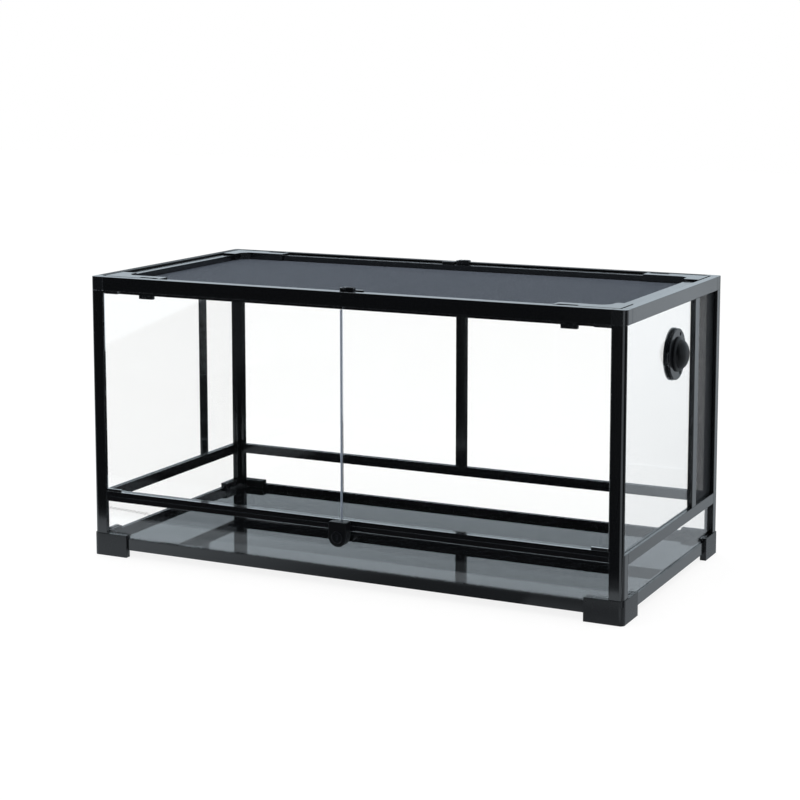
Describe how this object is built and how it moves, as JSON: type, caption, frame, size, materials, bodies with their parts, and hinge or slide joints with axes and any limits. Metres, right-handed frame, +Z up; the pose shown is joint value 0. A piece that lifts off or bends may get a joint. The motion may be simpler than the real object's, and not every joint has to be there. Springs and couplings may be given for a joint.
{
  "type": "glass terrarium",
  "caption": "Glass terrarium on corner feet with a black rail frame, hinged front doors, a lift-off mesh lid, a vent screen and a capped side port.",
  "frame": {"origin": "centre of the footprint of the whole object, on the surface that the feet stand on", "axes": "+X along the long side to the right as seen from the doors, +Y from the doors to the rear wall, +Z up"},
  "size_m": [0.9176, 0.4684, 0.4582],
  "materials": {
    "frame_metal": "black semi-gloss coating on extruded rails",
    "black_plastic": "moulded black plastic, satin",
    "clear_glass": "clear float glass",
    "dark_floor_glass": "float glass, black on its underside",
    "black_mesh": "black coated fine wire mesh"
  },
  "bodies": {
    "tank": {"foot_front_left": "black_plastic", "foot_front_right": "black_plastic", "foot_rear_right": "black_plastic", "foot_rear_left": "black_plastic", "base_rail_front": "frame_metal", "base_rail_right": "frame_metal", "base_rail_rear": "frame_metal", "base_rail_left": "frame_metal", "floor_glass": "dark_floor_glass", "post_rear_left": "frame_metal", "post_rear_right": "frame_metal", "post_front_left": "frame_metal", "post_front_right": "frame_metal", "mid_rail_left": "frame_metal", "mid_rail_right": "frame_metal", "mid_rail_rear": "frame_metal", "door_sill": "frame_metal", "mullion_right": "frame_metal", "mullion_rear": "frame_metal", "mullion_left": "frame_metal", "top_rail_front": "frame_metal", "top_rail_right": "frame_metal", "top_rail_rear": "frame_metal", "top_rail_left": "frame_metal", "top_corner_front_left": "black_plastic", "top_corner_front_right": "black_plastic", "top_corner_rear_right": "black_plastic", "top_corner_rear_left": "black_plastic", "lower_pane_front": "clear_glass", "lower_pane_right": "clear_glass", "lower_pane_rear": "clear_glass", "lower_pane_left": "clear_glass", "upper_pane_rear_left": "clear_glass", "upper_pane_rear_right": "clear_glass", "upper_pane_right": "clear_glass", "upper_pane_left": "clear_glass", "vent_screen": "black_mesh", "lock_housing": "black_plastic", "port_flange": "black_plastic"},
    "door_left": {"door_glass_left": "clear_glass", "door_pivot_top_left": "black_plastic", "door_pivot_bottom_left": "black_plastic"},
    "door_right": {"door_glass_right": "clear_glass", "door_pivot_top_right": "black_plastic", "door_pivot_bottom_right": "black_plastic"},
    "lock_plug": {"lock_plug": "black_plastic"},
    "lock_bolt": {"lock_bolt": "frame_metal"},
    "lid": {"lid_frame": "black_plastic", "lid_mesh": "black_mesh", "lid_corner_front_left": "black_plastic", "lid_corner_front_right": "black_plastic", "lid_corner_rear_right": "black_plastic", "lid_corner_rear_left": "black_plastic"},
    "clip_front_left": {"lid_clip_front_left": "black_plastic"},
    "clip_front_right": {"lid_clip_front_right": "black_plastic"},
    "clip_rear_right": {"lid_clip_rear_right": "black_plastic"},
    "clip_rear_left": {"lid_clip_rear_left": "black_plastic"},
    "latch_front": {"lid_latch_front": "black_plastic"},
    "latch_rear": {"lid_latch_rear": "black_plastic"},
    "port_cap": {"port_cap": "black_plastic"}
  },
  "joints": [
    {"name": "door_left_swing", "type": "hinge", "parent": "tank", "child": "door_left", "pos_m": [-0.43185, -0.21375, 0.268], "axis": [0, 0, -1], "range_deg": [0, 100]},
    {"name": "door_right_swing", "type": "hinge", "parent": "tank", "child": "door_right", "pos_m": [0.41735, -0.21375, 0.268], "axis": [0, 0, 1], "range_deg": [0, 100]},
    {"name": "lock_turn", "type": "hinge", "parent": "tank", "child": "lock_plug", "pos_m": [-0.00725, -0.23225, 0.082], "axis": [0, -1, 0], "range_deg": [0, 90]},
    {"name": "lock_bolt_slide", "type": "slide", "parent": "tank", "child": "lock_bolt", "axis": [0, 0, 1], "range_m": [0, 0.008]},
    {"name": "lid_lift", "type": "slide", "parent": "tank", "child": "lid", "axis": [0, 0, 1], "range_m": [0, 0.08]},
    {"name": "clip_front_left_slide", "type": "slide", "parent": "lid", "child": "clip_front_left", "axis": [1, 0, 0], "range_m": [0, 0.008]},
    {"name": "clip_front_right_slide", "type": "slide", "parent": "lid", "child": "clip_front_right", "axis": [-1, 0, 0], "range_m": [0, 0.008]},
    {"name": "clip_rear_right_slide", "type": "slide", "parent": "lid", "child": "clip_rear_right", "axis": [-1, 0, 0], "range_m": [0, 0.008]},
    {"name": "clip_rear_left_slide", "type": "slide", "parent": "lid", "child": "clip_rear_left", "axis": [1, 0, 0], "range_m": [0, 0.008]},
    {"name": "latch_front_turn", "type": "hinge", "parent": "lid", "child": "latch_front", "pos_m": [-0.01425, -0.19425, 0.4475], "axis": [0, 0, 1], "range_deg": [0, 90]},
    {"name": "latch_rear_turn", "type": "hinge", "parent": "lid", "child": "latch_rear", "pos_m": [-0.00475, 0.20975, 0.4475], "axis": [0, 0, -1], "range_deg": [0, 90]},
    {"name": "port_cap_turn", "type": "hinge", "parent": "tank", "child": "port_cap", "pos_m": [0.44275, 0.01475, 0.3575], "axis": [1, 0, 0], "range_deg": [0, 90]}
  ],
  "couplings": [
    {"joint": "lock_turn", "follows": "lock_bolt_slide", "rad_per_m": 196.3}
  ]
}
